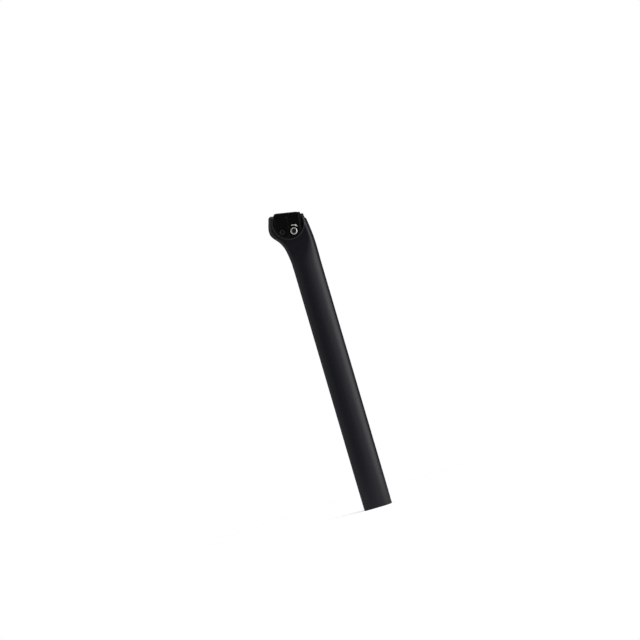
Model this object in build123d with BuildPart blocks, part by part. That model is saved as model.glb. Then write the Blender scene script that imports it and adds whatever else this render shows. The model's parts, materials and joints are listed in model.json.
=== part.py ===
from build123d import *
import os
from math import atan2, cos, degrees, radians, sin, tan

# An aero bicycle seatpost: a hollow carbon post whose head holds a two-bolt rail clamp.
# The tube runs along +Z from the centre of its lower end. +X is the front of the bicycle and -Y its
# right-hand side. Lengths are in millimetres and angles in degrees.

# Tube, a cut-off teardrop with its nose to the front
tube_chord = 32.5
tube_width = 25.0
tube_wall = 2.4
nose_length = 20.0
nose_flat = 2.0
tail_width = 20.0
tail_radius = 4.5
bore_depth = 300.0
end_chamfer = 0.6

# Side outline of the neck and head, followed upwards from where the tube starts to swell
axis_height = 341.5
axis_setback = 6.5
lean = 16.35
neck_drop = 53.5
neck_radius = 124.0
neck_angle = 11.2
flare_radius = 30.0
flare_angle = 29.4
flare_run = 4.5
bulge_radius = 14.0
front_drop = 43.5
front_radius = 310.0
crown = 20.0
loft_stations = 13

# Head
head_width = 26.0
head_front_radius = 3.8
head_rear_radius = 5.0
head_tail_width = 25.5
head_rise = 8.0
head_round = 3.4

# Round pockets in the head's sides, and the web between them
pocket_radius = 17.8
pocket_depth = 3.5
rim_width = 1.4
rim_depth = 0.65
pivot_radius = 6.0
pivot_clearance = 0.06
slot_clearance = 0.5

# Round rails that the clamp is made for
rail_diameter = 7.0
rail_spacing = 44.0
rail_rise = 8.75
rail_nose_up = 5.5
tilt_angle = 8.0

# Inner jaws, which turn in the pockets and carry the rails
jaw_length = 30.0
lip_edge = 0.5
lip_angle = 45.0
lip_wall = 2.9
rail_gap = 1.0
cradle_gap = 0.1
cradle_clearance = 0.3
cradle_recess = 0.8
shelf_thickness = 2.45
gusset_drop = 4.3
jaw_chamfer = 0.5
spigot_length = 5.0

# Outer jaws, which press the rails onto the inner ones
jaw_clearance = 0.4
jaw_bevel = 0.9
corner_round = 4.0
heel_round = 5.0
hook_wall = 2.5
hook_thickness = 3.75
hook_height = 3.0
face_slope = 20.0
shoulder_round = 12.0
toe_gap = 0.05
toe_height = 3.0
seat_height = 6.6
seat_wall = 2.9
rib_width = 2.6
rib_height = 0.8
rib_drop = 14.5

# Fasteners
bolt_reach = 6.8
bolt_drop = 9.9
bolt_diameter = 5.0
bolt_head_diameter = 7.8
bolt_head_height = 4.0
bolt_tip_gap = 1.0
socket_width = 4.0
socket_depth = 2.4
washer_diameter = 8.4
washer_thickness = 1.0
counterbore_diameter = 8.8
nut_head_diameter = 8.4
nut_head_height = 3.4
nut_diameter = 6.6
nut_length = 10.8
nut_cap = 3.0
thread_clearance = 0.05
hole_clearance = 0.25
edge_chamfer = 0.5

# Places worked out from the sizes above, outwards from the post's middle and upwards from the tilt axis
pivot = Vector(-axis_setback, 0, axis_height)
tilt_axis = Axis(pivot, (0, 1, 0))
level_up = Vector(sin(radians(lean)), 0, cos(radians(lean)))
rail_dip = radians(lean - rail_nose_up)
rail_forward = Vector(cos(rail_dip), 0, -sin(rail_dip))
sides = {"right": -1, "left": 1}
neck_height = axis_height - neck_drop
pocket_floor = head_width / 2 - pocket_depth
cradle_face = head_width / 2 - cradle_recess
cradle_back = pocket_floor + cradle_gap
rail_out = rail_spacing / 2
rail_radius = rail_diameter / 2
shelf_out = rail_out - rail_gap / 2
shelf_low = rail_rise - rail_radius - shelf_thickness
lip_back = rail_out - rail_radius - lip_wall
lip_reach = (rail_radius + lip_edge) * cos(radians(lip_angle))
lip_top = rail_rise + (rail_radius + lip_edge) * sin(radians(lip_angle))
jaw_radius = pocket_radius - jaw_clearance
hook_out = rail_out + rail_radius + hook_wall
toe_out = cradle_face + toe_gap
toe_top = toe_height - jaw_radius
hook_low = rail_rise - hook_height
jaw_foot = -jaw_radius - jaw_bevel
seat_out = cradle_face + seat_height
back_out = seat_out - seat_wall
head_seat = seat_out + washer_thickness
nut_bore_end = seat_out + nut_head_height - nut_cap
bolt_length = head_seat + nut_bore_end - bolt_tip_gap
bolt_circle = (bolt_reach**2 + bolt_drop**2) ** 0.5
bolt_angle = degrees(atan2(bolt_drop, bolt_reach))


def section(front, rear, width, nose, flat, tail, corner):
    """Level section of the post: blunt nose at the front, flat tail with round corners at the rear."""
    with BuildSketch() as outline:
        with BuildLine():
            nose_arc = EllipticalCenterArc((front - nose, flat / 2), nose, (width - flat) / 2, 0, arc_size=90)
            side = TangentArc(nose_arc @ 1, (rear, tail / 2), tangent=nose_arc % 1)
            mirror(about=Plane.XZ)
            Line(nose_arc @ 0, (front, -flat / 2))
            Line(side @ 1, (rear, -tail / 2))
        make_face()
        fillet(outline.vertices().group_by(Axis.X)[0], corner)
    return outline.sketch


def tube_section(inset=0.0):
    """Section of the straight tube, or of its bore where it is inset by the wall."""
    return section(
        tube_chord / 2 - inset,
        inset - tube_chord / 2,
        tube_width - 2 * inset,
        nose_length - inset,
        nose_flat,
        tail_width - 2 * inset,
        tail_radius - inset,
    )


def crossing(outline, height):
    """X at which a side outline passes a height."""
    return outline.line.intersect(Axis((0, 0, height), (1, 0, 0)))[0].X


def cross_plane(side):
    """Plane across the rails on one side: x outwards, y up from the rails, normal along the rails."""
    return Plane(pivot, x_dir=(0, side, 0), z_dir=rail_forward * side)


def side_plane(side):
    """Plane through the post's middle, seen from one side: y up from the rails, normal outwards."""
    return Plane(pivot, x_dir=rail_forward * -side, z_dir=(0, side, 0))


def pocket_profile():
    """Half section of a round pocket with a bevelled rim, for turning about the tilt axis."""
    rim_start = head_width / 2 - rim_depth
    mouth = head_width / 2 + rim_depth
    with BuildSketch() as profile:
        with BuildLine():
            Polyline(
                (pocket_floor, 0),
                (pocket_floor, pocket_radius),
                (rim_start, pocket_radius),
                (mouth, pocket_radius + 2 * rim_width),
                (mouth, 0),
                close=True,
            )
        make_face()
    return profile.sketch


def arc_slot(middle):
    """Slot through the web along the bolt circle, long enough for the clamp's tilt both ways."""
    with BuildLine() as path:
        CenterArc((0, 0), bolt_circle, middle - tilt_angle, 2 * tilt_angle)
    with BuildSketch() as slot:
        SlotArc(path.edge(), nut_diameter + 2 * slot_clearance)
    return slot.sketch


def fastener_plane(side, reach):
    """Side plane moved to a bolt's line."""
    return Plane(side_plane(side).location * Location((reach, -bolt_drop, 0)))


def jaw_outline():
    """Outline of an outer jaw seen from the side: round below the tilt axis, square with round corners above."""
    half = jaw_length / 2
    heel = -((jaw_radius**2 - half**2) ** 0.5)
    with BuildSketch() as outline:
        with BuildLine():
            Polyline((-half, heel), (-half, lip_top), (half, lip_top), (half, heel))
            RadiusArc((half, heel), (-half, heel), jaw_radius)
        make_face()
        fillet(outline.vertices().group_by(Axis.Y)[-1], corner_round)
        fillet(outline.vertices().group_by(Axis.Y)[0], heel_round)
    return outline.sketch


def skin(height):
    """How far out an outer jaw's sloping face lies at a height below its hook."""
    return hook_out - (hook_low - height) * tan(radians(face_slope))


def on_rim(edge, side):
    """Whether an edge of an outer jaw lies round the border of its outer face."""
    place = cross_plane(side).to_local_coords(edge @ 0.5)
    crosswise = abs((edge % 0.5).dot(rail_forward)) > 1 - 1e-6 and abs(place.Y - lip_top) > 1e-6
    return place.X > skin(min(place.Y, hook_low)) - jaw_bevel and not crosswise


# Side outlines of the neck and head
with BuildLine(Plane.XZ) as rear_edge:
    neck = JernArc((-tube_chord / 2, neck_height), (0, 1), neck_radius, neck_angle)
    flare = JernArc(neck @ 1, neck % 1, flare_radius, flare_angle)
    run = Line(flare @ 1, flare @ 1 + (flare % 1) * flare_run)
    bulge = JernArc(run @ 1, run % 1, bulge_radius, -(neck_angle + flare_angle + lean))
    Line(bulge @ 1, bulge @ 1 + (bulge % 1) * crown)

with BuildLine(Plane.XZ) as front_edge:
    front_line = Line((tube_chord / 2, 0), (tube_chord / 2, axis_height - front_drop))
    JernArc(front_line @ 1, front_line % 1, front_radius, degrees((front_drop + 2 * crown) / front_radius))

# Carbon post: tube, head, bore, pockets and the holes through the web between them
with BuildPart() as carbon_post:
    with BuildSketch(Plane.XY):
        add(tube_section())
    extrude(amount=neck_height)
    rear_wire = rear_edge.wire()
    for station in range(loft_stations):
        place = rear_wire @ (station / (loft_stations - 1))
        share = min(1.0, (place.Z - neck_height) / (neck_drop - pocket_radius))
        blend = share * share * (3 - 2 * share)
        with BuildSketch(Plane.XY.offset(place.Z)):
            add(
                section(
                    crossing(front_edge, place.Z),
                    place.X,
                    tube_width + blend * (head_width - tube_width),
                    nose_length + blend * (head_front_radius - nose_length),
                    nose_flat + blend * (head_width - 2 * head_front_radius - nose_flat),
                    tail_width + blend * (head_tail_width - tail_width),
                    tail_radius + blend * (head_rear_radius - tail_radius),
                )
            )
    loft()
    split(bisect_by=Plane(pivot + level_up * head_rise, z_dir=level_up), keep=Keep.BOTTOM)
    fillet(carbon_post.faces().sort_by(Axis(pivot, level_up))[-1].edges(), head_round)
    chamfer(carbon_post.faces().sort_by(Axis.Z)[0].edges(), end_chamfer)
    with BuildSketch(Plane.XY):
        add(tube_section(tube_wall))
    extrude(amount=bore_depth, mode=Mode.SUBTRACT)
    for side in sides.values():
        with BuildSketch(cross_plane(side)):
            add(pocket_profile())
        revolve(axis=tilt_axis, mode=Mode.SUBTRACT)
    with BuildSketch(side_plane(sides["right"])):
        Circle(pivot_radius + pivot_clearance)
        add(arc_slot(-bolt_angle))
        add(arc_slot(180 + bolt_angle))
    extrude(amount=pocket_floor, both=True, mode=Mode.SUBTRACT)
carbon_post.part.label = "carbon_post"

os.makedirs("parts", exist_ok=True)
export_step(carbon_post.part, "parts/carbon_post.step")

# Jaws, the same on both sides but turned round
for name, side in sides.items():
    bolt_place = fastener_plane(side, bolt_reach)
    nut_place = fastener_plane(side, -bolt_reach)

    with BuildPart() as inner_jaw:
        with BuildSketch(cross_plane(side)):
            with BuildLine():
                Polyline(
                    (cradle_back, 0),
                    (cradle_face, shelf_low - gusset_drop),
                    (shelf_out, shelf_low),
                    (shelf_out, rail_rise),
                    (rail_out - lip_reach, lip_top),
                    (lip_back, lip_top),
                    (cradle_face, head_rise),
                    (cradle_back, head_rise),
                    close=True,
                )
            make_face()
        extrude(amount=jaw_length / 2, both=True)
        chamfer(inner_jaw.edges().group_by(Axis(pivot, rail_forward))[0], jaw_chamfer)
        chamfer(inner_jaw.edges().group_by(Axis(pivot, rail_forward))[-1], jaw_chamfer)
        with BuildSketch(cross_plane(side)):
            with Locations((rail_out, rail_rise)):
                Circle(rail_radius)
        extrude(amount=jaw_length, both=True, mode=Mode.SUBTRACT)
        with BuildSketch(side_plane(side).offset(cradle_back)):
            Circle(pocket_radius - cradle_clearance)
            with Locations((0, head_rise)):
                Rectangle(2 * pocket_radius, pocket_radius, align=(Align.CENTER, Align.MIN), mode=Mode.SUBTRACT)
        extrude(amount=cradle_face - cradle_back)
        with BuildSketch(side_plane(side).offset(cradle_back)):
            Circle(pivot_radius)
        extrude(amount=-spigot_length)
        with Locations(bolt_place, nut_place):
            Hole(nut_diameter / 2 + hole_clearance)
    inner_jaw.part.label = f"inner_jaw_{name}"
    export_step(inner_jaw.part, f"parts/inner_jaw_{name}.step")

    with BuildPart() as outer_jaw:
        with BuildSketch(cross_plane(side)) as profile:
            with BuildLine():
                Polyline(
                    (toe_out, jaw_foot),
                    (toe_out, toe_top),
                    (back_out, toe_top),
                    (back_out, counterbore_diameter / 2 - bolt_drop),
                    (rail_out + rail_gap / 2, rail_rise - rail_radius - hook_thickness),
                    (rail_out + rail_gap / 2, rail_rise),
                    (rail_out + lip_reach, lip_top),
                    (hook_out, lip_top),
                    (hook_out, hook_low),
                    (skin(jaw_foot), jaw_foot),
                    close=True,
                )
            make_face()
            fillet(profile.vertices().sort_by_distance((hook_out, hook_low))[0], shoulder_round)
        extrude(amount=jaw_length, both=True)
        with BuildSketch(side_plane(side)):
            add(jaw_outline())
        extrude(amount=hook_out, mode=Mode.INTERSECT)
        chamfer(outer_jaw.edges().filter_by(lambda edge: on_rim(edge, side)), jaw_bevel)
        with BuildSketch(cross_plane(side)):
            with Locations((rail_out, rail_rise)):
                Circle(rail_radius)
        extrude(amount=jaw_length, both=True, mode=Mode.SUBTRACT)
        with BuildSketch(cross_plane(side)):
            with BuildLine():
                Polyline(
                    (skin(hook_low) - rib_height, hook_low + 2 * rib_height),
                    (skin(hook_low) + rib_height, hook_low),
                    (skin(-rib_drop) + rib_height, -rib_drop),
                    (skin(-rib_drop) - rib_height, -rib_drop - 2 * rib_height),
                    close=True,
                )
            make_face()
        extrude(amount=rib_width / 2, both=True)
        with Locations(bolt_place.offset(hook_out)):
            CounterBoreHole(bolt_diameter / 2 + hole_clearance, counterbore_diameter / 2, hook_out - seat_out)
        with Locations(nut_place.offset(hook_out)):
            CounterBoreHole(nut_diameter / 2 + hole_clearance, counterbore_diameter / 2, hook_out - seat_out)
    outer_jaw.part.label = f"outer_jaw_{name}"
    export_step(outer_jaw.part, f"parts/outer_jaw_{name}.step")

# Fasteners: the front bolt goes in from the right and the rear bolt from the left
for name, side in {"front": sides["right"], "rear": sides["left"]}.items():
    bolt_place = fastener_plane(side, bolt_reach)
    nut_place = fastener_plane(-side, -bolt_reach)

    with BuildPart() as bolt:
        with BuildSketch(bolt_place.offset(head_seat)):
            Circle(bolt_head_diameter / 2)
        extrude(amount=bolt_head_height)
        chamfer(bolt.edges().sort_by(Axis(pivot, (0, side, 0)))[-1], edge_chamfer)
        with BuildSketch(bolt_place.offset(head_seat)):
            Circle(bolt_diameter / 2)
        extrude(amount=-bolt_length)
        chamfer(bolt.edges().sort_by(Axis(pivot, (0, side, 0)))[0], edge_chamfer)
        with BuildSketch(bolt_place.offset(head_seat + bolt_head_height)):
            RegularPolygon(socket_width / 2, 6, major_radius=False)
        extrude(amount=-socket_depth, mode=Mode.SUBTRACT)
    bolt.part.label = f"{name}_clamp_bolt"
    export_step(bolt.part, f"parts/{name}_clamp_bolt.step")

    with BuildPart() as washer:
        with BuildSketch(bolt_place.offset(seat_out)):
            Circle(washer_diameter / 2)
            Circle(bolt_diameter / 2 + hole_clearance, mode=Mode.SUBTRACT)
        extrude(amount=washer_thickness)
    washer.part.label = f"{name}_bolt_washer"
    export_step(washer.part, f"parts/{name}_bolt_washer.step")

    with BuildPart() as nut:
        with BuildSketch(nut_place.offset(seat_out)):
            Circle(nut_head_diameter / 2)
        extrude(amount=nut_head_height)
        chamfer(nut.edges().sort_by(Axis(pivot, (0, -side, 0)))[-1], edge_chamfer)
        with BuildSketch(nut_place.offset(seat_out)):
            Circle(nut_diameter / 2)
        extrude(amount=-nut_length)
        with BuildSketch(nut_place.offset(nut_bore_end)):
            Circle(bolt_diameter / 2 + thread_clearance)
        extrude(amount=-(nut_length + nut_bore_end - seat_out), mode=Mode.SUBTRACT)
        with BuildSketch(nut_place.offset(seat_out + nut_head_height)):
            RegularPolygon(socket_width / 2, 6, major_radius=False)
        extrude(amount=-socket_depth, mode=Mode.SUBTRACT)
    nut.part.label = f"{name}_sleeve_nut"
    export_step(nut.part, f"parts/{name}_sleeve_nut.step")
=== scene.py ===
# %% [markdown]
# # An aero bicycle seatpost
#
# The part is a hollow carbon post with a swept-back head. A two-bolt clamp in the head grips a pair of
# round rails. The solids come from the CAD model at their real size, in metres, so this lesson is about
# everything that turns them into a product picture: the camera, the light, the finishes, the small
# fasteners and the marks that are printed on the metal.

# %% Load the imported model
import json
import math

import bmesh
import bpy
from mathutils import Matrix, Vector
from mathutils.bvhtree import BVHTree


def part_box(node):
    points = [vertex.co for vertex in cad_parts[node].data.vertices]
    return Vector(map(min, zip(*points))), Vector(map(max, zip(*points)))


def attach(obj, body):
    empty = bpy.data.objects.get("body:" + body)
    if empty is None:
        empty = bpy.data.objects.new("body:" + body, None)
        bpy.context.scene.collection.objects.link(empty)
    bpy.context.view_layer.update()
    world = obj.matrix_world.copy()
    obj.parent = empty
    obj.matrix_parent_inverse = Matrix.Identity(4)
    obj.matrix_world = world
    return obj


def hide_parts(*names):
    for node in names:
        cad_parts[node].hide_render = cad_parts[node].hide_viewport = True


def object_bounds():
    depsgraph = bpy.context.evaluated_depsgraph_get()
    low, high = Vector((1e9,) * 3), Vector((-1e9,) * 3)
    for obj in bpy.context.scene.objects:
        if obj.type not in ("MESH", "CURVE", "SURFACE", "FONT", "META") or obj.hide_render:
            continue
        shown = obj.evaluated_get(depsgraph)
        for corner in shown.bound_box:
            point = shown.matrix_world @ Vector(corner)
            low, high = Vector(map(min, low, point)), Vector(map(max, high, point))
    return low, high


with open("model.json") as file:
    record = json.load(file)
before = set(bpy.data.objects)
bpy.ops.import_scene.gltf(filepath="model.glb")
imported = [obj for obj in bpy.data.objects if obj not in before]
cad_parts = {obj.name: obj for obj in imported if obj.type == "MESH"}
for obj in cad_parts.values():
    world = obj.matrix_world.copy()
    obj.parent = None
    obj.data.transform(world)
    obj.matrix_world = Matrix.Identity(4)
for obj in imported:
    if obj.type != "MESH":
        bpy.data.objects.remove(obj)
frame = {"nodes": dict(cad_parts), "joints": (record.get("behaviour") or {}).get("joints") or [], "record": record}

MM = 0.001
cad_low, cad_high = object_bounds()
print("nodes:", ", ".join(sorted(frame["nodes"])))
print("CAD box in mm:", [round(length / MM, 1) for length in (cad_high - cad_low)])

# %% [markdown]
# ## Where things are
#
# The clamp is described best from its own tilt axis: forwards along the rails, up from the rails, and
# outwards to each side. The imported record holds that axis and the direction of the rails, so nothing
# has to be measured again. Both outer jaws are the same forging, turned half round, so each side has its
# own direction towards the bolt whose head is on that side.

# %% The clamp's own axes
joints = {joint["name"]: joint for joint in frame["joints"]}
mounts = {mount["name"]: mount for mount in frame["record"]["mounts"]}
tilt_centre = Vector(joints["clamp_tilt"]["pos_m"])
rail_forward = Vector(mounts["right_rail_clamp"]["axis"]).normalized()
outward = {"right": Vector((0, -1, 0)), "left": Vector((0, 1, 0))}
rail_up = outward["right"].cross(rail_forward)
bolt_side = {"right": rail_forward, "left": -rail_forward}

print("tilt axis in mm at", [round(length / MM, 2) for length in tilt_centre])
print("rails point along", [round(share, 3) for share in rail_forward])

# %% [markdown]
# ## Camera
#
# The post is seen from the bicycle's right, a little from the front, with a long lens. On a bicycle the
# post leans back, and here it stands along its own Z axis, so the camera is rolled by the lean instead.
# The view's width is given at the post, which makes the distance follow from the lens.

# %% Camera at the photograph's angle
LEAN = math.radians(16.45)
TURN_TO_FRONT = math.radians(6.0)
VIEW_WIDTH = 737.6 * MM
LENS_MM = 120.0
SENSOR_MM = 36.0
aim = Vector((-4.1, 0, 225.0)) * MM

level_up = Vector((math.sin(LEAN), 0, math.cos(LEAN)))
level_front = Vector((math.cos(LEAN), 0, -math.sin(LEAN)))
to_camera = level_front * math.sin(TURN_TO_FRONT) + outward["right"] * math.cos(TURN_TO_FRONT)
camera_distance = VIEW_WIDTH * LENS_MM / SENSOR_MM

camera_data = bpy.data.cameras.new("camera")
camera_data.lens = LENS_MM
camera_data.sensor_width = SENSOR_MM
camera_data.dof.use_dof = False
camera = bpy.data.objects.new("camera", camera_data)
across = level_up.cross(to_camera)
turn = Matrix((across, level_up, to_camera)).transposed()
camera.matrix_world = Matrix.Translation(aim + to_camera * camera_distance) @ turn.to_4x4()
bpy.context.scene.collection.objects.link(camera)
bpy.context.scene.camera = camera
bpy.context.scene.view_settings.view_transform = "Standard"
print("camera stands", round(camera_distance, 3), "m away")

# %% [markdown]
# ## World and floor
#
# A black product on white paper is a classic studio task. The paper has to be white in the picture and
# in reflections, but it must not flood the black lacquer with light. So camera, glossy and transmission
# rays see a white world, and other rays see a softer grey one. The floor is a small pale disc that fades
# out, so it keeps the contact shadow and leaves no horizon. Its paper is lifted to white for the same
# rays, which costs the post no light. From below the disc is clear, so the open end can be looked at.

# %% World
AMBIENT = 0.55
WHITE = (1, 1, 1, 1)


def picture_rays(nodes, links):
    """1 for rays that make the picture: straight from the camera, mirrored, or through glass."""
    ray = nodes.new("ShaderNodeLightPath")
    seen = ray.outputs["Is Camera Ray"]
    for kind in ("Is Glossy Ray", "Is Transmission Ray"):
        either = nodes.new("ShaderNodeMath")
        either.operation = "MAXIMUM"
        links.new(seen, either.inputs[0])
        links.new(ray.outputs[kind], either.inputs[1])
        seen = either.outputs[0]
    return seen


world = bpy.data.worlds.new("studio")
world.use_nodes = True
bpy.context.scene.world = world
nodes, links = world.node_tree.nodes, world.node_tree.links
nodes.clear()
ambient = nodes.new("ShaderNodeBackground")
ambient.inputs["Color"].default_value = WHITE
ambient.inputs["Strength"].default_value = AMBIENT
paper_white = nodes.new("ShaderNodeBackground")
paper_white.inputs["Color"].default_value = WHITE
paper_white.inputs["Strength"].default_value = 1.0
choose = nodes.new("ShaderNodeMixShader")
world_out = nodes.new("ShaderNodeOutputWorld")
links.new(picture_rays(nodes, links), choose.inputs["Fac"])
links.new(ambient.outputs[0], choose.inputs[1])
links.new(paper_white.outputs[0], choose.inputs[2])
links.new(choose.outputs[0], world_out.inputs["Surface"])
print("world strength", AMBIENT, "for light and 1 for the picture")

# %% Floor
FLOOR_RADIUS = 0.45
FLOOR_SEGMENTS = 96
FADE_START = 0.04
FLOOR_WHITE = 0.93
FLOOR_LIFT = 0.3


def link_mesh(name, mesh_builder):
    """New object from a bmesh, linked to the scene."""
    mesh = bpy.data.meshes.new(name)
    mesh_builder.to_mesh(mesh)
    mesh_builder.free()
    piece = bpy.data.objects.new(name, mesh)
    bpy.context.scene.collection.objects.link(piece)
    return piece


disc = bmesh.new()
bmesh.ops.create_circle(disc, cap_ends=True, segments=FLOOR_SEGMENTS, radius=FLOOR_RADIUS)
floor = link_mesh("floor", disc)
floor.location.z = cad_low.z

paper = bpy.data.materials.new("floor_paper")
paper.use_nodes = True
nodes, links = paper.node_tree.nodes, paper.node_tree.links
nodes.clear()
place = nodes.new("ShaderNodeTexCoord")
reach = nodes.new("ShaderNodeVectorMath")
reach.operation = "LENGTH"
fade = nodes.new("ShaderNodeMapRange")
fade.interpolation_type = "SMOOTHERSTEP"
fade.inputs["From Min"].default_value = FADE_START
fade.inputs["From Max"].default_value = FLOOR_RADIUS
side_seen = nodes.new("ShaderNodeNewGeometry")
clear = nodes.new("ShaderNodeMath")
clear.operation = "MAXIMUM"
sheet = nodes.new("ShaderNodeBsdfDiffuse")
sheet.inputs["Color"].default_value = (FLOOR_WHITE, FLOOR_WHITE, FLOOR_WHITE, 1)
lift_strength = nodes.new("ShaderNodeMath")
lift_strength.operation = "MULTIPLY"
lift_strength.inputs[1].default_value = FLOOR_LIFT
lift = nodes.new("ShaderNodeEmission")
lifted = nodes.new("ShaderNodeAddShader")
nothing = nodes.new("ShaderNodeBsdfTransparent")
blend = nodes.new("ShaderNodeMixShader")
paper_out = nodes.new("ShaderNodeOutputMaterial")
links.new(place.outputs["Object"], reach.inputs[0])
links.new(reach.outputs["Value"], fade.inputs["Value"])
links.new(fade.outputs["Result"], clear.inputs[0])
links.new(side_seen.outputs["Backfacing"], clear.inputs[1])
links.new(clear.outputs[0], blend.inputs["Fac"])
links.new(picture_rays(nodes, links), lift_strength.inputs[0])
links.new(lift_strength.outputs[0], lift.inputs["Strength"])
links.new(sheet.outputs[0], lifted.inputs[0])
links.new(lift.outputs[0], lifted.inputs[1])
links.new(lifted.outputs[0], blend.inputs[1])
links.new(nothing.outputs[0], blend.inputs[2])
links.new(blend.outputs[0], paper_out.inputs["Surface"])
floor.data.materials.append(paper)
print("floor at z =", round(floor.location.z, 4))

# %% [markdown]
# ## Light
#
# Satin black shows only what it mirrors. A tall soft box towards the front of the bicycle draws the long
# highlight down the nose, and a wide box overhead gives the floor its white. Each lamp is placed by the
# direction that it shines from, as seen from the post: degrees round from the camera's side to the front,
# and degrees up. Lengths are in metres.

# %% Soft boxes
def soft_box(name, round_to_front, up, distance, width, height, watts):
    """Rectangular lamp that looks at the post from a direction."""
    turned, raised = math.radians(round_to_front), math.radians(up)
    level = Vector((math.sin(turned), -math.cos(turned), 0))
    away = level * math.cos(raised) + Vector((0, 0, math.sin(raised)))
    data = bpy.data.lights.new(name, "AREA")
    data.shape = "RECTANGLE"
    data.size = width
    data.size_y = height
    data.energy = watts
    lamp = bpy.data.objects.new(name, data)
    lamp.location = aim + away * distance
    lamp.rotation_mode = "QUATERNION"
    lamp.rotation_quaternion = away.to_track_quat("Z", "Y")
    bpy.context.scene.collection.objects.link(lamp)


soft_box("front_box", round_to_front=70, up=4, distance=0.9, width=0.65, height=1.1, watts=7.0)
soft_box("top_box", round_to_front=0, up=82, distance=1.3, width=1.2, height=1.2, watts=9.0)

# %% [markdown]
# ## Dark cards
#
# White paper all round would turn the flat sides grey and burn white lines along the edges, because any
# surface mirrors strongly at a glancing angle. Photographers stand dark cards, called flags, on both
# sides of a black product. The card behind the camera keeps the broad side dark, and the one on the far
# side keeps the edges dark. The camera doesn't see them and they cast no shadow.

# %% Dark cards on both sides
def dark_card(name, grey, left, right, depth, low, high):
    """Upright card across the view, from left to right along X, all in metres."""
    finish = bpy.data.materials.new(name)
    finish.use_nodes = True
    shader = finish.node_tree.nodes["Principled BSDF"]
    shader.inputs["Base Color"].default_value = (grey, grey, grey, 1)
    shader.inputs["Roughness"].default_value = 1.0
    shader.inputs["Specular IOR Level"].default_value = 0.0
    sheet = bmesh.new()
    corners = [(left, depth, low), (right, depth, low), (right, depth, high), (left, depth, high)]
    sheet.faces.new([sheet.verts.new(corner) for corner in corners])
    card = link_mesh(name, sheet)
    card.data.materials.append(finish)
    card.visible_camera = False
    card.visible_shadow = False


dark_card("camera_card", grey=0.2, left=-1.7, right=0.7, depth=-3.0, low=-4.0, high=2.6)
dark_card("far_card", grey=0.05, left=-2.8, right=2.8, depth=0.9, low=-0.5, high=1.2)
print("two dark cards")

# %% [markdown]
# ## Shared effects
#
# Each of four effects is a node group that is built once, so that any finish can use it with its own
# values. Fine grain is the speckle of blasted metal or the orange peel of lacquer. Fibre streaks are long
# faint lines that run up the post, as the top layer of carbon does. Turned rings are the circles that a
# lathe leaves on a fastener. The edge mask finds corners, where a black finish is always a little thinner
# and lighter and where a painted highlight goes too: it compares the true normal with one that is rounded
# off. All but the edge mask read object coordinates, which are metres in the model's own frame.

# %% A helper for node groups
FLOAT = "NodeSocketFloat"
VECTOR = "NodeSocketVector"


def new_group(name, inputs, outputs):
    """Empty shader group. An input is a name, a kind and a default, an output a name and a kind."""
    group = bpy.data.node_groups.new(name, "ShaderNodeTree")
    for socket, kind, default in inputs:
        made = group.interface.new_socket(socket, in_out="INPUT", socket_type=kind)
        made.default_value = default
    for socket, kind in outputs:
        group.interface.new_socket(socket, in_out="OUTPUT", socket_type=kind)
    print("group", name)
    return group, group.nodes.new("NodeGroupInput"), group.nodes.new("NodeGroupOutput")


# %% Fine grain
fine_grain, start, end = new_group(
    "fine_grain", [("Scale", FLOAT, 1000.0), ("Detail", FLOAT, 3.0)], [("Grain", FLOAT)]
)
where = fine_grain.nodes.new("ShaderNodeTexCoord")
speckle = fine_grain.nodes.new("ShaderNodeTexNoise")
speckle.inputs["Roughness"].default_value = 0.6
fine_grain.links.new(where.outputs["Object"], speckle.inputs["Vector"])
fine_grain.links.new(start.outputs["Scale"], speckle.inputs["Scale"])
fine_grain.links.new(start.outputs["Detail"], speckle.inputs["Detail"])
fine_grain.links.new(speckle.outputs["Fac"], end.inputs["Grain"])

# %% Fibre streaks
fibre_streaks, start, end = new_group(
    "fibre_streaks", [("Across", FLOAT, 900.0), ("Along", FLOAT, 14.0)], [("Streak", FLOAT)]
)
where = fibre_streaks.nodes.new("ShaderNodeTexCoord")
scales = fibre_streaks.nodes.new("ShaderNodeCombineXYZ")
stretch = fibre_streaks.nodes.new("ShaderNodeVectorMath")
stretch.operation = "MULTIPLY"
strands = fibre_streaks.nodes.new("ShaderNodeTexNoise")
strands.inputs["Scale"].default_value = 1.0
strands.inputs["Detail"].default_value = 4.0
for axis in "XY":
    fibre_streaks.links.new(start.outputs["Across"], scales.inputs[axis])
fibre_streaks.links.new(start.outputs["Along"], scales.inputs["Z"])
fibre_streaks.links.new(where.outputs["Object"], stretch.inputs[0])
fibre_streaks.links.new(scales.outputs[0], stretch.inputs[1])
fibre_streaks.links.new(stretch.outputs[0], strands.inputs["Vector"])
fibre_streaks.links.new(strands.outputs["Fac"], end.inputs["Streak"])

# %% Turned rings
turned_rings, start, end = new_group(
    "turned_rings",
    [("Centre", VECTOR, (0, 0, 0)), ("Rings per metre", FLOAT, 5000.0)],
    [("Ring", FLOAT)],
)
where = turned_rings.nodes.new("ShaderNodeTexCoord")
from_axis = turned_rings.nodes.new("ShaderNodeVectorMath")
from_axis.operation = "SUBTRACT"
flatten = turned_rings.nodes.new("ShaderNodeVectorMath")
flatten.operation = "MULTIPLY"
flatten.inputs[1].default_value = (1, 0, 1)
radius = turned_rings.nodes.new("ShaderNodeVectorMath")
radius.operation = "LENGTH"
count = turned_rings.nodes.new("ShaderNodeMath")
count.operation = "MULTIPLY"
strip = turned_rings.nodes.new("ShaderNodeTexNoise")
strip.noise_dimensions = "1D"
strip.inputs["Scale"].default_value = 1.0
strip.inputs["Detail"].default_value = 2.0
turned_rings.links.new(where.outputs["Object"], from_axis.inputs[0])
turned_rings.links.new(start.outputs["Centre"], from_axis.inputs[1])
turned_rings.links.new(from_axis.outputs[0], flatten.inputs[0])
turned_rings.links.new(flatten.outputs[0], radius.inputs[0])
turned_rings.links.new(radius.outputs["Value"], count.inputs[0])
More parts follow.
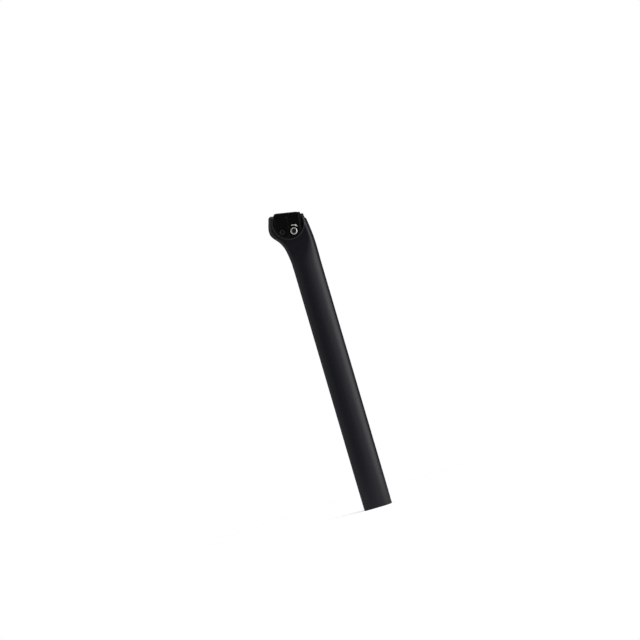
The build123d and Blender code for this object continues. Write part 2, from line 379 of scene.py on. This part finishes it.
turned_rings.links.new(start.outputs["Rings per metre"], count.inputs[1])
turned_rings.links.new(count.outputs[0], strip.inputs["W"])
turned_rings.links.new(strip.outputs["Fac"], end.inputs["Ring"])

# %% Edge mask
EDGE_SHARP = 0.97
EDGE_SOFT = 0.80
edge_mask, start, end = new_group(
    "edge_mask", [("Radius", FLOAT, 0.0003)], [("Edge", FLOAT), ("Rounded", VECTOR)]
)
rounded = edge_mask.nodes.new("ShaderNodeBevel")
rounded.samples = 6
true_shape = edge_mask.nodes.new("ShaderNodeNewGeometry")
agree = edge_mask.nodes.new("ShaderNodeVectorMath")
agree.operation = "DOT_PRODUCT"
spread = edge_mask.nodes.new("ShaderNodeMapRange")
spread.inputs["From Min"].default_value = EDGE_SHARP
spread.inputs["From Max"].default_value = EDGE_SOFT
edge_mask.links.new(start.outputs["Radius"], rounded.inputs["Radius"])
edge_mask.links.new(rounded.outputs["Normal"], agree.inputs[0])
edge_mask.links.new(true_shape.outputs["Normal"], agree.inputs[1])
edge_mask.links.new(agree.outputs["Value"], spread.inputs["Value"])
edge_mask.links.new(spread.outputs["Result"], end.inputs["Edge"])
edge_mask.links.new(rounded.outputs["Normal"], end.inputs["Rounded"])

# %% [markdown]
# ## Finishes
#
# Each finish is one material with its own Principled BSDF. A short helper makes the shader, and others
# place a group, stretch its noise to a range, mix two colours, or press a height into the surface as a
# bump. Noise rarely reaches 0 or 1, so the range that it mostly lies in is what gets stretched.

# %% Helpers for materials
NOISE_LOW = 0.3
NOISE_HIGH = 0.7

# Places of the two colours and of the result on a Mix node that mixes colours
MIX_FIRST = 6
MIX_SECOND = 7
MIX_RESULT = 2


def new_finish(name, **constants):
    """Material with a Principled BSDF whose constant sockets are set directly."""
    material = bpy.data.materials.new(name)
    material.use_nodes = True
    shader = material.node_tree.nodes["Principled BSDF"]
    for socket, value in constants.items():
        shader.inputs[socket.replace("_", " ")].default_value = value
    return material, shader


def place_group(material, group, **values):
    """A shared group in a material, with its own values."""
    node = material.node_tree.nodes.new("ShaderNodeGroup")
    node.node_tree = group
    for socket, value in values.items():
        node.inputs[socket.replace("_", " ")].default_value = value
    return node.outputs


def feed(material, socket, value):
    """Link another node's output to a socket, or set the socket to a constant."""
    if isinstance(value, bpy.types.NodeSocket):
        material.node_tree.links.new(value, socket)
    else:
        socket.default_value = value


def to_range(material, noise, low, high):
    """Noise stretched to a range from low to high."""
    node = material.node_tree.nodes.new("ShaderNodeMapRange")
    limits = {"From Min": NOISE_LOW, "From Max": NOISE_HIGH, "To Min": low, "To Max": high}
    for socket, limit in limits.items():
        node.inputs[socket].default_value = limit
    material.node_tree.links.new(noise, node.inputs["Value"])
    return node.outputs["Result"]


def mix_colours(material, share, first, second):
    """Colour between two others by a share from 0 to 1. A colour is four numbers or another output."""
    node = material.node_tree.nodes.new("ShaderNodeMix")
    node.data_type = "RGBA"
    material.node_tree.links.new(share, node.inputs["Factor"])
    feed(material, node.inputs[MIX_FIRST], first)
    feed(material, node.inputs[MIX_SECOND], second)
    return node.outputs[MIX_RESULT]


def mottled(material, noise, dark, light):
    """Colour that wanders between two others with a noise."""
    return mix_colours(material, to_range(material, noise, 0, 1), dark, light)


def press(material, height, depth, under=None):
    """Bump of a depth in metres, on top of another normal if there is one."""
    node = material.node_tree.nodes.new("ShaderNodeBump")
    node.inputs["Distance"].default_value = depth
    material.node_tree.links.new(height, node.inputs["Height"])
    if under is not None:
        material.node_tree.links.new(under, node.inputs["Normal"])
    return node.outputs["Normal"]


def give_finish(node, material):
    """Put a finish on a CAD node in place of the one it came with."""
    frame["nodes"][node].data.materials.clear()
    frame["nodes"][node].data.materials.append(material)
    print(node, "has", material.name)


print("helpers ready")

# %% [markdown]
# ### Where the carbon is lacquered, machined or raw
#
# The post is one moulding with three kinds of surface. Its outside is lacquered. The two round pockets are
# machined after moulding and the lower end is sawn off, so they show bare laminate, a little duller. The
# pockets' bevelled rims are painted lighter still, a painted highlight along each rim. The bore keeps the
# wrinkled skin that the inflated moulding bag leaves. One material can hold all three if it knows where it
# is: a pocket is near the tilt axis and outside the web, and in the bore the surface faces the tube's middle
# line.

# %% Masks for the pockets and the bore
POCKET_REACH = 19.25 * MM
POCKET_FLOOR = 9.3 * MM
BORE_TOP = 300.5 * MM
SAWN_END = 0.62 * MM
BORE_TURN = 0.5 * MM
BEVEL_LEAST = 0.80
BEVEL_MOST = 0.97


def math_node(material, operation, first, second=0.0):
    """One step of arithmetic. A value is a number or another output."""
    node = material.node_tree.nodes.new("ShaderNodeMath")
    node.operation = operation
    feed(material, node.inputs[0], first)
    feed(material, node.inputs[1], second)
    return node.outputs[0]


def vector_node(material, operation, first, second=(0, 0, 0)):
    """One step of vector arithmetic. A vector is three numbers or another output."""
    node = material.node_tree.nodes.new("ShaderNodeVectorMath")
    node.operation = operation
    feed(material, node.inputs[0], first)
    feed(material, node.inputs[1], second)
    return node.outputs["Value"] if operation in ("LENGTH", "DOT_PRODUCT") else node.outputs[0]


def pocket_mask(material, place):
    """1 on the pockets' rims, walls and floors."""
    from_tilt_axis = vector_node(material, "SUBTRACT", place, tilt_centre)
    from_tilt_axis = vector_node(material, "MULTIPLY", from_tilt_axis, (1, 0, 1))
    near = math_node(material, "LESS_THAN", vector_node(material, "LENGTH", from_tilt_axis), POCKET_REACH)
    from_middle = vector_node(material, "LENGTH", vector_node(material, "MULTIPLY", place, (0, 1, 0)))
    off_the_web = math_node(material, "GREATER_THAN", from_middle, POCKET_FLOOR)
    return math_node(material, "MULTIPLY", near, off_the_web)


def bevel_mask(material, normal):
    """1 where a surface is neither level with the post's side nor square to it."""
    to_side = math_node(material, "ABSOLUTE", vector_node(material, "DOT_PRODUCT", normal, (0, 1, 0)))
    tilted = math_node(material, "LESS_THAN", to_side, BEVEL_MOST)
    not_square = math_node(material, "GREATER_THAN", to_side, BEVEL_LEAST)
    return math_node(material, "MULTIPLY", tilted, not_square)


def below(material, place, height):
    """1 under a height."""
    return math_node(material, "LESS_THAN", vector_node(material, "DOT_PRODUCT", place, (0, 0, 1)), height)


def bore_mask(material, place, normal):
    """1 inside the hollow tube, where the surface faces the middle line."""
    level = vector_node(material, "MULTIPLY", place, (1, 1, 0))
    facing = vector_node(material, "DOT_PRODUCT", level, normal)
    inwards = math_node(material, "LESS_THAN", facing, -BORE_TURN)
    return math_node(material, "MULTIPLY", below(material, place, BORE_TOP), inwards)


print("pockets reach", POCKET_REACH / MM, "mm from the tilt axis")

# %% [markdown]
# ### Satin carbon
#
# The lacquer is satin, and from a step away the post is a slightly blue black. That blue cast is painted
# into the colour: a painted reflection of bluish light from around the post. Close by, the top layer's
# fibres run up the post as faint streaks, and the lacquer has a soft orange peel. The lacquer could be a
# coat over a darker base, but a satin coat blurs into one lobe anyway, so one rough lobe with little
# reflection is enough.

# %% Satin carbon
# The blue in these blacks is a painted reflection of bluish light from around the post.
CARBON_DEEP = (0.0039, 0.0043, 0.0070, 1)
CARBON_FIBRE = (0.0061, 0.0067, 0.0106, 1)
LAMINATE_DARK = (0.018, 0.018, 0.019, 1)
LAMINATE_LIGHT = (0.036, 0.036, 0.037, 1)
RIM_PAINTED_HIGHLIGHT = (0.06, 0.06, 0.062, 1)
BAG_SKIN_DARK = (0.004, 0.004, 0.004, 1)
BAG_SKIN_LIGHT = (0.012, 0.0115, 0.011, 1)
SATIN_ROUGHNESS = (0.35, 0.41)
UNLACQUERED_ROUGHER = 0.2
STREAK_DEPTH = 0.004 * MM
PEEL_DEPTH = 0.012 * MM
WRINKLE_DEPTH = 0.5 * MM

satin_carbon, shader = new_finish("satin_carbon", Specular_IOR_Level=0.24)
links = satin_carbon.node_tree.links
where = satin_carbon.node_tree.nodes.new("ShaderNodeTexCoord").outputs["Object"]
facing = satin_carbon.node_tree.nodes.new("ShaderNodeNewGeometry").outputs["True Normal"]
in_pocket = pocket_mask(satin_carbon, where)
is_cut = math_node(satin_carbon, "MAXIMUM", in_pocket, below(satin_carbon, where, SAWN_END))
rim_highlight_mask = math_node(satin_carbon, "MULTIPLY", in_pocket, bevel_mask(satin_carbon, facing))
in_bore = bore_mask(satin_carbon, where, facing)

streak = place_group(satin_carbon, fibre_streaks, Across=900.0, Along=14.0)["Streak"]
peel = place_group(satin_carbon, fine_grain, Scale=420.0, Detail=2.0)["Grain"]
cut = place_group(satin_carbon, turned_rings, Centre=tilt_centre, Rings_per_metre=4000.0)["Ring"]
wrinkle = place_group(satin_carbon, fibre_streaks, Across=260.0, Along=40.0)["Streak"]

lacquer = mottled(satin_carbon, streak, CARBON_DEEP, CARBON_FIBRE)
laminate = mottled(satin_carbon, cut, LAMINATE_DARK, LAMINATE_LIGHT)
bag_skin = mottled(satin_carbon, wrinkle, BAG_SKIN_DARK, BAG_SKIN_LIGHT)
# The pockets' bevelled rims get a painted highlight on top of the machined laminate.
machined_with_rim_highlight = mix_colours(satin_carbon, rim_highlight_mask, laminate, RIM_PAINTED_HIGHLIGHT)
outside = mix_colours(satin_carbon, is_cut, lacquer, machined_with_rim_highlight)
links.new(mix_colours(satin_carbon, in_bore, outside, bag_skin), shader.inputs["Base Color"])

unlacquered = math_node(satin_carbon, "MAXIMUM", is_cut, in_bore)
duller = math_node(satin_carbon, "MULTIPLY", unlacquered, UNLACQUERED_ROUGHER)
satin = to_range(satin_carbon, peel, *SATIN_ROUGHNESS)
links.new(math_node(satin_carbon, "ADD", satin, duller), shader.inputs["Roughness"])

surface = press(satin_carbon, streak, STREAK_DEPTH)
surface = press(satin_carbon, peel, PEEL_DEPTH, surface)
bore_wrinkle = math_node(satin_carbon, "MULTIPLY", wrinkle, in_bore)
surface = press(satin_carbon, bore_wrinkle, WRINKLE_DEPTH, surface)
links.new(surface, shader.inputs["Normal"])
give_finish("carbon_post", satin_carbon)

# %% [markdown]
# ### Black anodised aluminium
#
# The jaws are forged, blasted and anodised black. The oxide isn't metal any more, so it shines like a dark
# stone rather than like a mirror, and the blasting leaves a fine even grain. At the corners the rounded
# normal catches the light, and the colour there is painted lighter too: partly the thinner oxide of worn
# corners, partly a painted highlight. Together they draw the jaw's outline.

# %% Black anodised aluminium
ANODISED_DARK = (0.0006, 0.0006, 0.0007, 1)
ANODISED_LIGHT = (0.0016, 0.0016, 0.0018, 1)
ANODISED_EDGE_WEAR_AND_HIGHLIGHT = (0.014, 0.014, 0.015, 1)
BLASTED_ROUGHNESS = (0.40, 0.52)
BLASTED_DEPTH = 0.010 * MM
WORN_AND_LIT_RADIUS = 0.35 * MM

black_anodised, shader = new_finish("black_anodised", Specular_IOR_Level=0.07)
links = black_anodised.node_tree.links
blasted = place_group(black_anodised, fine_grain, Scale=5200.0, Detail=3.0)["Grain"]
corner = place_group(black_anodised, edge_mask, Radius=WORN_AND_LIT_RADIUS)
oxide_colour = mottled(black_anodised, blasted, ANODISED_DARK, ANODISED_LIGHT)
# Corners painted lighter: partly thinner oxide, partly a painted highlight.
with_worn_and_lit_edges = mix_colours(black_anodised, corner["Edge"], oxide_colour, ANODISED_EDGE_WEAR_AND_HIGHLIGHT)
links.new(with_worn_and_lit_edges, shader.inputs["Base Color"])
links.new(to_range(black_anodised, blasted, *BLASTED_ROUGHNESS), shader.inputs["Roughness"])
links.new(press(black_anodised, blasted, BLASTED_DEPTH, corner["Rounded"]), shader.inputs["Normal"])
for side in outward:
    give_finish(f"inner_jaw_{side}", black_anodised)
    give_finish(f"outer_jaw_{side}", black_anodised)

# %% [markdown]
# ### Bare and blackened steel
#
# The bolts are stainless and left bare, so they are the one bright spot on the part. A lathe has left
# rings round each bolt's own middle. The sockets of the bolts and the sleeve nuts are painted dark: partly
# old grease, partly painted shade for the dim inside of a socket. The washers and sleeve nuts are
# blackened, with the same rings. The rings need a middle of their own, so each fastener gets its own
# material, and one function makes them all.

# %% Steel finishes
STEEL = ((0.60, 0.60, 0.60, 1), (0.86, 0.85, 0.84, 1))
# Socket colours: partly old grease, partly painted shade for the dim inside of a socket.
GREASE_AND_SHADE = ((0.010, 0.010, 0.010, 1), (0.035, 0.033, 0.031, 1))
OXIDE = ((0.0014, 0.0014, 0.0016, 1), (0.0038, 0.0038, 0.0042, 1))
STEEL_ROUGHNESS = 0.2
GREASE_AND_SHADE_ROUGHNESS = 0.5
OXIDE_ROUGHNESS = 0.38
ROUGHNESS_SPREAD = 0.1
RING_DEPTH = 0.006 * MM


def middle_of(node):
    """Middle of a CAD node's box."""
    low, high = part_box(node)
    return (Vector(low) + Vector(high)) / 2


def turned_steel(name, node, colours, rough, **constants):
    """Turned finish with rings about the middle of one fastener."""
    material, shader = new_finish(name, **constants)
    links = material.node_tree.links
    ring = place_group(material, turned_rings, Centre=middle_of(node), Rings_per_metre=6000.0)["Ring"]
    speck = place_group(material, fine_grain, Scale=3000.0, Detail=2.0)["Grain"]
    links.new(mottled(material, ring, *colours), shader.inputs["Base Color"])
    links.new(to_range(material, speck, rough, rough + ROUGHNESS_SPREAD), shader.inputs["Roughness"])
    links.new(press(material, ring, RING_DEPTH), shader.inputs["Normal"])
    return material


def bare_steel(name, node):
    """Bright stainless steel."""
    return turned_steel(name, node, STEEL, STEEL_ROUGHNESS, Metallic=1.0)


def grease_and_shade(name, node):
    """Dark grease and painted shade inside a socket."""
    return turned_steel(name, node, GREASE_AND_SHADE, GREASE_AND_SHADE_ROUGHNESS, Metallic=0.6)


def black_oxide(name, node):
    """Blackened steel."""
    return turned_steel(name, node, OXIDE, OXIDE_ROUGHNESS, Specular_IOR_Level=0.12)


for bolt_end in ("front", "rear"):
    washer = f"{bolt_end}_bolt_washer"
    give_finish(washer, black_oxide(f"{washer}_oxide", washer))

# %% [markdown]
# ## Bolts and sleeve nuts
#
# Each clamp bolt is a socket screw that goes into a sleeve nut from the other side. The CAD fasteners
# have the right sizes but plain chamfers and no thread. A turned piece is a stack of rings about one
# line, from the bottom of the socket, over the head and down to the tip, so one function makes them all.
# A ring's radius may change with the angle, and that makes the six-sided socket, the knurled head and the
# thread out of the same rings. Sizes in these cells are in millimetres.

# %% Turned pieces from a stack of rings
SEGMENTS = 96
SHARP_ANGLE = math.radians(32)

# Numbers of the two finishes on a fastener
OUTSIDE = 0
SOCKET = 1


def turned_piece(name, foot, axis, rings):
    """Closed piece turned about a line. A ring is its height, its radius or a function of the angle for
    it, and the number of the finish between it and the ring before."""
    first = rail_forward
    second = axis.cross(first)
    shape = bmesh.new()
    loops = []
    for height, radius, _ in rings:
        centre = foot + axis * (height * MM)
        if radius == 0:
            loops.append([shape.verts.new(centre)])
            continue
        loop = []
        for step in range(SEGMENTS):
            angle = 2 * math.pi * step / SEGMENTS
            reach = (radius(angle) if callable(radius) else radius) * MM
            away = first * math.cos(angle) + second * math.sin(angle)
            loop.append(shape.verts.new(centre + away * reach))
        loops.append(loop)
    for before, after, (_, _, finish) in zip(loops, loops[1:], rings[1:]):
        for step in range(SEGMENTS):
            beside = (step + 1) % SEGMENTS
            if len(before) == 1:
                corners = [before[0], after[step], after[beside]]
            elif len(after) == 1:
                corners = [before[beside], before[step], after[0]]
            else:
                corners = [before[beside], before[step], after[step], after[beside]]
            shape.faces.new(corners).material_index = finish
    bmesh.ops.recalc_face_normals(shape, faces=shape.faces)
    piece = link_mesh(name, shape)
    piece.data.shade_smooth()
    piece.data.set_sharp_from_angle(angle=SHARP_ANGLE)
    print(name, "has", len(piece.data.polygons), "faces")
    return piece


# %% Shapes that a ring can have
SOCKET_WIDTH = 4.0
KNURLS = 48
KNURL_DEPTH = 0.12
THREAD_PITCH = 0.8
THREAD_DEPTH = 0.42
THREAD_STEPS = 4
RIM_STEPS = 6


def six_sided(angle):
    """Radius of the socket's six flats."""
    sixth = math.pi / 3
    return SOCKET_WIDTH / 2 / math.cos((angle + sixth / 2) % sixth - sixth / 2)


def knurled(radius):
    """Fine grooves along the side of a bolt's head."""
    return lambda angle: radius - KNURL_DEPTH * (0.5 - 0.5 * math.cos(KNURLS * angle))


def threaded(radius, height, depth):
    """One ring of a helical thread. A depth over zero cuts outwards, as in a nut."""
    def ring(angle):
        turn_share = (height / THREAD_PITCH + angle / (2 * math.pi)) % 1.0
        return radius + depth * abs(2 * turn_share - 1)
    return ring


def thread_rings(radius, top, bottom, depth):
    """Stack of rings from top down to bottom, with the thread running out at both ends."""
    steps = round((top - bottom) / THREAD_PITCH * THREAD_STEPS)
    rings = []
    for step in range(steps + 1):
        height = top + (bottom - top) * step / steps
        fade = min(1.0, step / THREAD_STEPS, (steps - step) / THREAD_STEPS)
        rings.append((height, threaded(radius, height, depth * fade), OUTSIDE))
    return rings


def rounded_rim(radius, top, rim):
    """Quarter round from a flat top to the side of a head."""
    rings = []
    for step in range(RIM_STEPS + 1):
        angle = math.radians(90 * step / RIM_STEPS)
        rings.append((top - rim + rim * math.cos(angle), radius - rim + rim * math.sin(angle), OUTSIDE))
    return rings


print("socket", SOCKET_WIDTH, "mm, thread pitch", THREAD_PITCH, "mm")

# %% [markdown]
# The bolt's head has a rounded rim and a small countersink round the socket, whose floor is the cone that
# a drill leaves. The knurl on its side runs out before the rim and the foot. Heights are counted from the
# seat under the head, so the tip's height is below zero.

# %% Clamp bolts
HEAD_HEIGHT = 4.0
HEAD_RIM = 0.6
KNURL_RUNOUT = 0.2
KNURL_FOOT = 0.3
FOOT_ROUND = 0.2
BOLT_RADIUS = 2.5
SOCKET_DEPTH = 2.4
DRILL_CONE = 0.7
DRILL_CLEARANCE = 0.02
COUNTERSINK = 0.3
THREAD_LENGTH = 18.0
TIP_CHAMFER = 0.5


def socket_rings(top):
    """Drilled and broached socket that opens at a height, from its floor up."""
    return [
        (top - SOCKET_DEPTH - DRILL_CONE, 0, SOCKET),
        (top - SOCKET_DEPTH, SOCKET_WIDTH / 2 - DRILL_CLEARANCE, SOCKET),
        (top - SOCKET_DEPTH, six_sided, SOCKET),
        (top - COUNTERSINK, six_sided, SOCKET),
        (top, SOCKET_WIDTH / 2 + 2 * COUNTERSINK, SOCKET),
    ]


def cad_fastener(node, side, head_height):
    """Seat under the head of a CAD fastener, its head's radius and the height of its other end."""
    low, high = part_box(node)
    middle = middle_of(node)
    outer_y = low[1] if side == "right" else high[1]
    seat = Vector((middle.x, outer_y, middle.z)) - outward[side] * head_height * MM
    return seat, (high[0] - low[0]) / 2 / MM, head_height - (high[1] - low[1]) / MM


def clamp_bolt(bolt_end, side):
    """Socket screw in place of a CAD bolt whose head is on one side."""
    node = f"{bolt_end}_clamp_bolt"
    seat, head_radius, tip = cad_fastener(node, side, HEAD_HEIGHT)
    rings = socket_rings(HEAD_HEIGHT)
    rings += rounded_rim(head_radius, HEAD_HEIGHT, HEAD_RIM)
    rings += [
        (HEAD_HEIGHT - HEAD_RIM - KNURL_RUNOUT, knurled(head_radius), OUTSIDE),
        (KNURL_FOOT, knurled(head_radius), OUTSIDE),
        (FOOT_ROUND, head_radius - KNURL_DEPTH, OUTSIDE),
        (0, head_radius - 2 * KNURL_DEPTH, OUTSIDE),
        (0, BOLT_RADIUS, OUTSIDE),
    ]
    rings += thread_rings(BOLT_RADIUS, tip + THREAD_LENGTH, tip + TIP_CHAMFER, -THREAD_DEPTH)
    rings += [(tip, BOLT_RADIUS - TIP_CHAMFER, OUTSIDE), (tip, 0, OUTSIDE)]
    piece = turned_piece(f"{bolt_end}_socket_screw", seat, outward[side], rings)
    piece.data.materials.append(bare_steel(f"{bolt_end}_bolt_steel", node))
    piece.data.materials.append(grease_and_shade(f"{bolt_end}_socket_grease_and_shade", node))
    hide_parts(node)
    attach(piece, f"{side}_jaw")


clamp_bolt("front", "right")
clamp_bolt("rear", "left")

# %% [markdown]
# The sleeve nut has a similar head, a smooth sleeve that goes through the clamp, and the thread inside. Its
# stack of rings runs down the outside of the sleeve and back up the bore.

# %% Sleeve nuts
NUT_HEAD_HEIGHT = 3.4
NUT_RIM = 0.5
SLEEVE_RADIUS = 3.3
NUT_BORE_RADIUS = 2.55
NUT_BORE_END = 0.4
SLEEVE_CHAMFER = 0.4


def sleeve_nut(bolt_end, side):
    """Sleeve nut in place of a CAD nut whose head is on one side."""
    node = f"{bolt_end}_sleeve_nut"
    seat, head_radius, foot = cad_fastener(node, side, NUT_HEAD_HEIGHT)
    bore = thread_rings(NUT_BORE_RADIUS, NUT_BORE_END, foot + SLEEVE_CHAMFER, THREAD_DEPTH)
    rings = socket_rings(NUT_HEAD_HEIGHT)
    rings += rounded_rim(head_radius, NUT_HEAD_HEIGHT, NUT_RIM)
    rings += [
        (0, head_radius, OUTSIDE),
        (0, SLEEVE_RADIUS, OUTSIDE),
        (foot + SLEEVE_CHAMFER, SLEEVE_RADIUS, OUTSIDE),
        (foot, SLEEVE_RADIUS - SLEEVE_CHAMFER, OUTSIDE),
        (foot, NUT_BORE_RADIUS, OUTSIDE),
    ]
    rings += bore[::-1] + [(NUT_BORE_END, 0, OUTSIDE)]
    piece = turned_piece(f"{bolt_end}_barrel_nut", seat, outward[side], rings)
    piece.data.materials.append(black_oxide(f"{bolt_end}_nut_oxide", node))
    piece.data.materials.append(grease_and_shade(f"{bolt_end}_nut_grease_and_shade", node))
    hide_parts(node)
    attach(piece, f"{side}_jaw")


sleeve_nut("front", "left")
sleeve_nut("rear", "right")

# %% [markdown]
# ## Turning marks
#
# Beside each bolt the jaw carries a small white mark: a plain curved arrow that shows which way the bolt
# tightens. A texture would blur, so the mark is a thin plate of ink. Its points start in the air beside
# the jaw, round the bolt's own middle, and each is dropped onto the jaw's face, so the plate follows the
# slope exactly and rides along with the jaw. Sizes are in millimetres. Angles are in degrees, clockwise as
# seen from outside, and start at the direction that is up from the rails.

# %% White ink
INK_DARK = (0.62, 0.62, 0.61, 1)
INK_LIGHT = (0.82, 0.82, 0.81, 1)

white_ink, shader = new_finish("white_ink", Roughness=0.55)
pores = place_group(white_ink, fine_grain, Scale=4000.0, Detail=2.0)["Grain"]
white_ink.node_tree.links.new(mottled(white_ink, pores, INK_DARK, INK_LIGHT), shader.inputs["Base Color"])
print("finish", white_ink.name)

# %% Curved arrows on the outer jaws
ARROW_RADIUS = 6.8
ARROW_START = -18.0
ARROW_NECK = 18.0
ARROW_TIP = 47.0
LINE_WIDTH = 0.8
HEAD_SPAN = 2.4
DEGREES_A_STEP = 3.0
INK_THICKNESS = 0.03
FAR_OUT = 60.0


def angles_between(start, stop):
    """Even steps from one angle to another, without the first."""
    count = round((stop - start) / DEGREES_A_STEP)
    return [start + (stop - start) * step / count for step in range(1, count + 1)]


def turning_mark(bolt_end, side):
    """Arrow of ink round one bolt's head, clockwise as seen from outside."""
    jaw = frame["nodes"][f"outer_jaw_{side}"]
    tree = BVHTree.FromObject(jaw, bpy.context.evaluated_depsgraph_get())
    centre = middle_of(f"{bolt_end}_clamp_bolt")
    ink = bmesh.new()

    def row(degrees, offsets):
        """Points across the arrow at an angle, dropped onto the jaw."""
        angle = math.radians(degrees)
        away = bolt_side[side] * math.sin(angle) + rail_up * math.cos(angle)
        made = []
        for offset in offsets:
            place = centre + away * (ARROW_RADIUS + offset) * MM + outward[side] * FAR_OUT * MM
            hit, normal, _, _ = tree.ray_cast(place, -outward[side])
            made.append(ink.verts.new(hit + normal * INK_THICKNESS * MM))
        return made

    def join(before, after):
        """Faces between two rows. The second row is handed on."""
        for step in range(len(before) - 1):
            ink.faces.new((before[step], before[step + 1], after[step + 1], after[step]))
        return after

    line = (-LINE_WIDTH / 2, 0, LINE_WIDTH / 2)
    last = row(ARROW_START, line)
    for angle in angles_between(ARROW_START, ARROW_NECK):
        last = join(last, row(angle, line))
    barbs = row(ARROW_NECK, (-HEAD_SPAN / 2, HEAD_SPAN / 2))
    last = [barbs[0], *last, barbs[1]]
    head = (-HEAD_SPAN / 2, *line, HEAD_SPAN / 2)
    for angle in angles_between(ARROW_NECK, ARROW_TIP)[:-1]:
        share = (ARROW_TIP - angle) / (ARROW_TIP - ARROW_NECK)
        last = join(last, row(angle, [share * offset for offset in head]))
    tip = row(ARROW_TIP, [0])[0]
    for inner, outer in zip(last, last[1:]):
        ink.faces.new((inner, outer, tip))

    plate = bmesh.ops.extrude_face_region(ink, geom=ink.faces[:])
    sunk = [item for item in plate["geom"] if isinstance(item, bmesh.types.BMVert)]
    bmesh.ops.translate(ink, verts=sunk, vec=-outward[side] * 2 * INK_THICKNESS * MM)
    bmesh.ops.recalc_face_normals(ink, faces=ink.faces)
    piece = link_mesh(f"turning_mark_{side}", ink)
    piece.data.materials.append(white_ink)
    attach(piece, f"{side}_jaw")
    print(piece.name, "has", len(piece.data.polygons), "faces")


turning_mark("front", "right")
turning_mark("rear", "left")
